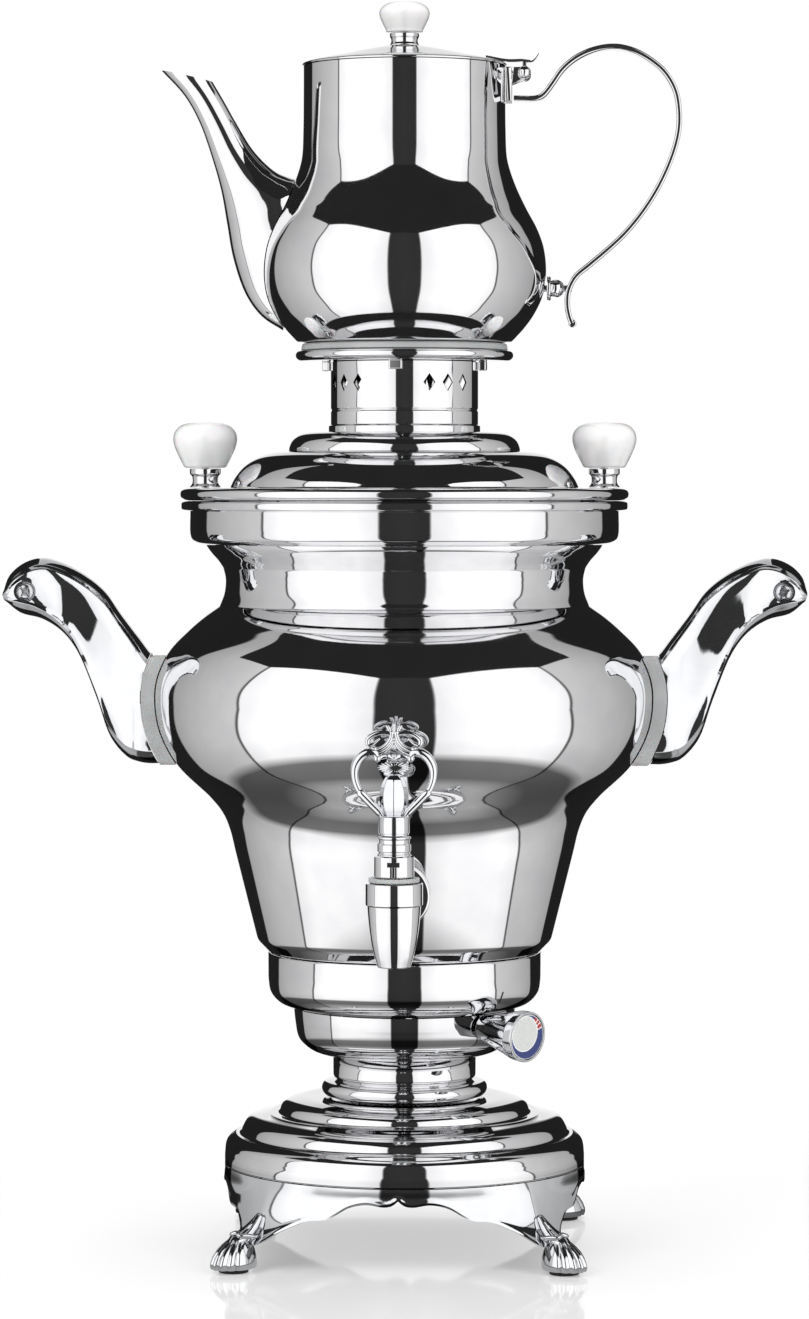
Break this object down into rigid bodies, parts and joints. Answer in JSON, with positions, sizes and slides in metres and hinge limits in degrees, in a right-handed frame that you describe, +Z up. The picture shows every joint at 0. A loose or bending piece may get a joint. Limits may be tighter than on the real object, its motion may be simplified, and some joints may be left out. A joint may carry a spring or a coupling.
{
  "type": "electric samovar",
  "caption": "Electric samovar with a bulbous polished tank on a claw-footed base, a plug tap with an openwork key, side handles, a dial, and a teapot on its crown",
  "frame": {"origin": "on the floor under the middle of the overall width and depth", "axes": "+Z up along the tank's axis, front with the tap at -Y, +X towards the teapot's handle"},
  "size_m": [0.3412, 0.2378, 0.529],
  "materials": {
    "polished_steel": "mirror polished stainless steel",
    "chromed_casting": "polished chrome plate on a cast alloy",
    "plain_steel": "plain turned or rolled steel",
    "black_rubber": "matte black rubber",
    "grey_silicone": "smooth light grey silicone, satin",
    "white_porcelain": "glazed white porcelain, glossy",
    "black_nylon": "matte black nylon",
    "cream_ceramic": "matte cream ceramic",
    "dial_print": "printed dial label under clear lacquer"
  },
  "bodies": {
    "base_and_tank": {"claw_base": "chromed_casting", "foot_pad_rear_right": "black_rubber", "foot_pad_rear_left": "black_rubber", "foot_pad_front_left": "black_rubber", "foot_pad_front_right": "black_rubber", "base_dome": "polished_steel", "base_neck": "polished_steel", "base_plate": "plain_steel", "tie_rod": "plain_steel", "thermostat_housing": "polished_steel", "lower_ring": "polished_steel", "cord_gland": "black_nylon", "terminal_block": "cream_ceramic", "thermal_cutout": "cream_ceramic", "thermostat": "cream_ceramic", "tank_waist": "polished_steel", "tank_belly": "polished_steel", "tank_throat": "polished_steel", "tank_floor": "plain_steel", "tank_collar": "polished_steel", "heating_element": "plain_steel", "handle_left_front": "chromed_casting", "handle_left_rear": "chromed_casting", "handle_right_front": "chromed_casting", "handle_right_rear": "chromed_casting", "handle_end_screw_left": "plain_steel", "handle_end_screw_right": "plain_steel", "handle_stud_left": "plain_steel", "handle_stud_right": "plain_steel", "handle_pad_left": "grey_silicone", "handle_pad_right": "grey_silicone", "tap_body": "polished_steel", "tap_gasket": "grey_silicone", "tap_lock_nut": "plain_steel", "tap_washer": "grey_silicone", "tap_bonnet": "polished_steel", "tap_packing_nut": "polished_steel"},
    "dial": {"dial_knob": "chromed_casting", "dial_face": "dial_print"},
    "key_and_plug": {"tap_key": "chromed_casting", "tap_plug": "plain_steel"},
    "tank_lid": {"lid_pressing": "polished_steel", "lid_step_dome": "polished_steel", "crown_neck": "polished_steel", "crown_plate": "polished_steel", "crown_silicone_ring": "grey_silicone", "lid_knob_left": "white_porcelain", "lid_knob_right": "white_porcelain", "lid_knob_stem_left": "polished_steel", "lid_knob_stem_right": "polished_steel"},
    "teapot": {"pot_body": "polished_steel", "pot_spout": "polished_steel", "pot_handle": "polished_steel", "pot_handle_spacer": "polished_steel", "hinge_bracket": "polished_steel", "hinge_pin": "polished_steel"},
    "teapot_lid": {"pot_lid": "polished_steel", "pot_lid_knob": "white_porcelain", "pot_lid_knob_stem": "polished_steel", "lid_hinge_leaf": "polished_steel"}
  },
  "joints": [
    {"name": "tank_lid_lift", "type": "slide", "parent": "base_and_tank", "child": "tank_lid", "axis": [0, 0, 1], "range_m": [0, 0.08]},
    {"name": "teapot_lift", "type": "slide", "parent": "tank_lid", "child": "teapot", "axis": [0, 0, 1], "range_m": [0, 0.06]},
    {"name": "teapot_lid_hinge", "type": "hinge", "parent": "teapot", "child": "teapot_lid", "pos_m": [0.0508, 0.01263, 0.4985], "axis": [0, 1, 0], "range_deg": [0, 70]},
    {"name": "tap_key_turn", "type": "hinge", "parent": "base_and_tank", "child": "key_and_plug", "pos_m": [0, -0.10737, 0.157], "axis": [0, 0, 1], "range_deg": [0, 90]},
    {"name": "dial_turn", "type": "hinge", "parent": "base_and_tank", "child": "dial", "pos_m": [0.03453, -0.02072, 0.0975], "axis": [0.7176, -0.693, -0.0698], "range_deg": [0, 270]}
  ]
}
